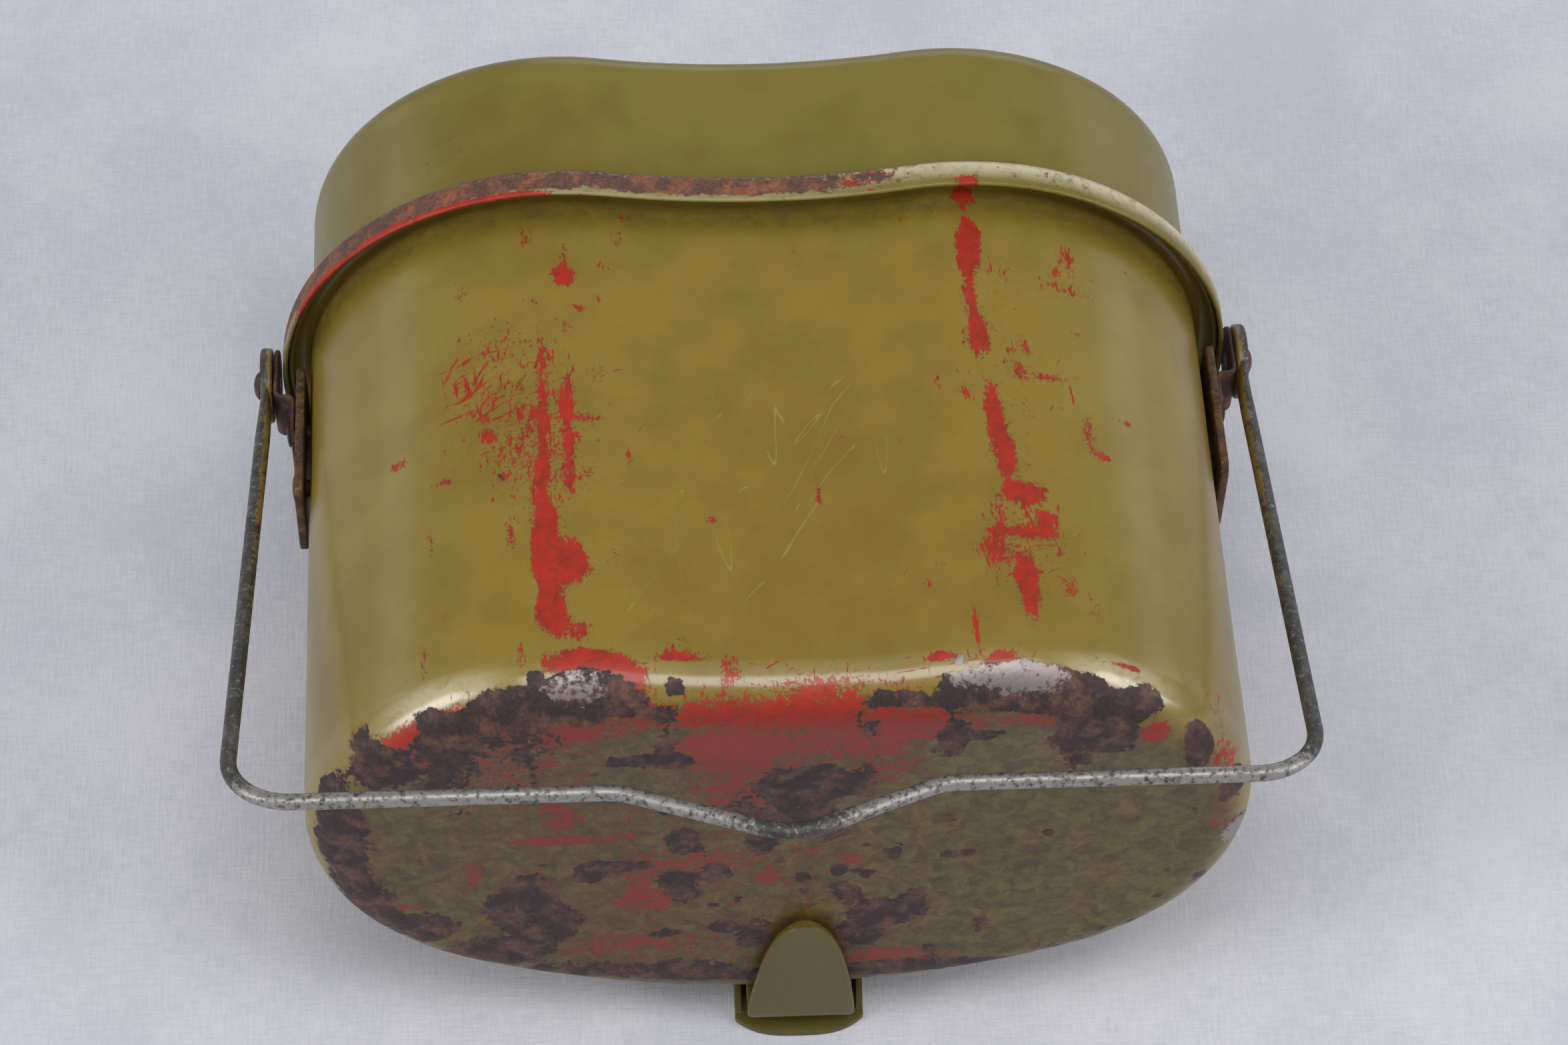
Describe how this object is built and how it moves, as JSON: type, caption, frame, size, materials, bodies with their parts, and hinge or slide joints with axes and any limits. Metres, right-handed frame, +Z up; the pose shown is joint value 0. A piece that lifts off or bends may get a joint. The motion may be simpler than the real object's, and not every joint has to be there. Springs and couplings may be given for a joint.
{
  "type": "mess kit",
  "caption": "Kidney-shaped steel mess kit: deep pot, pan lid with a stepped skirt, wire bail on side ears, and a hinged channel handle that hooks over the pot's bottom.",
  "frame": {"origin": "centre of the bounding box's underside; the kit lies on its convex back, on the handle channel", "axes": "+X across the kit, along the bail's pivot; +Y from the pot's bottom to the lid; +Z up, out of the shallow front dip"},
  "size_m": [0.1878, 0.1664, 0.1155],
  "materials": {
    "pot_paint": "worn satin olive paint over red primer",
    "lid_paint": "satin olive paint",
    "handle_paint": "satin olive paint",
    "ear_steel": "worn paint over rusty steel",
    "rivet_steel": "dull, rusty",
    "wire_steel": "worn grey steel with traces of olive paint",
    "pin_steel": "dull steel"
  },
  "bodies": {
    "pot": {"pot_body": "pot_paint", "ear_plate_left": "ear_steel", "ear_bracket_left": "ear_steel", "ear_rivet_upper_left": "rivet_steel", "ear_rivet_lower_left": "rivet_steel", "bail_stud_left": "pin_steel", "ear_plate_right": "ear_steel", "ear_bracket_right": "ear_steel", "ear_rivet_upper_right": "rivet_steel", "ear_rivet_lower_right": "rivet_steel", "bail_stud_right": "pin_steel"},
    "bail": {"bail_wire": "wire_steel"},
    "lid": {"lid_pan": "lid_paint", "hinge_plate": "handle_paint", "hinge_rivet_1": "rivet_steel", "hinge_rivet_2": "rivet_steel", "hinge_rivet_3": "rivet_steel", "hinge_rivet_4": "rivet_steel", "hinge_pin": "pin_steel"},
    "handle": {"handle_channel": "handle_paint", "hook_leaf": "handle_paint", "hook_rivet_1": "rivet_steel", "hook_rivet_2": "rivet_steel"}
  },
  "joints": [
    {"name": "bail_swing", "type": "hinge", "parent": "pot", "child": "bail", "pos_m": [0.00072, 0.04113, 0.06325], "axis": [-1, 0, 0], "range_deg": [-41, 190]},
    {"name": "lid_lift", "type": "slide", "parent": "pot", "child": "lid", "axis": [0, 1, 0], "range_m": [0, 0.04]},
    {"name": "handle_swing", "type": "hinge", "parent": "lid", "child": "handle", "pos_m": [0.00522, 0.06044, 0.0039], "axis": [1, 0, 0], "range_deg": [0, 95]}
  ],
  "couplings": [
    {"joint": "handle_swing", "follows": "lid_lift", "rad_per_m": 41.45}
  ]
}
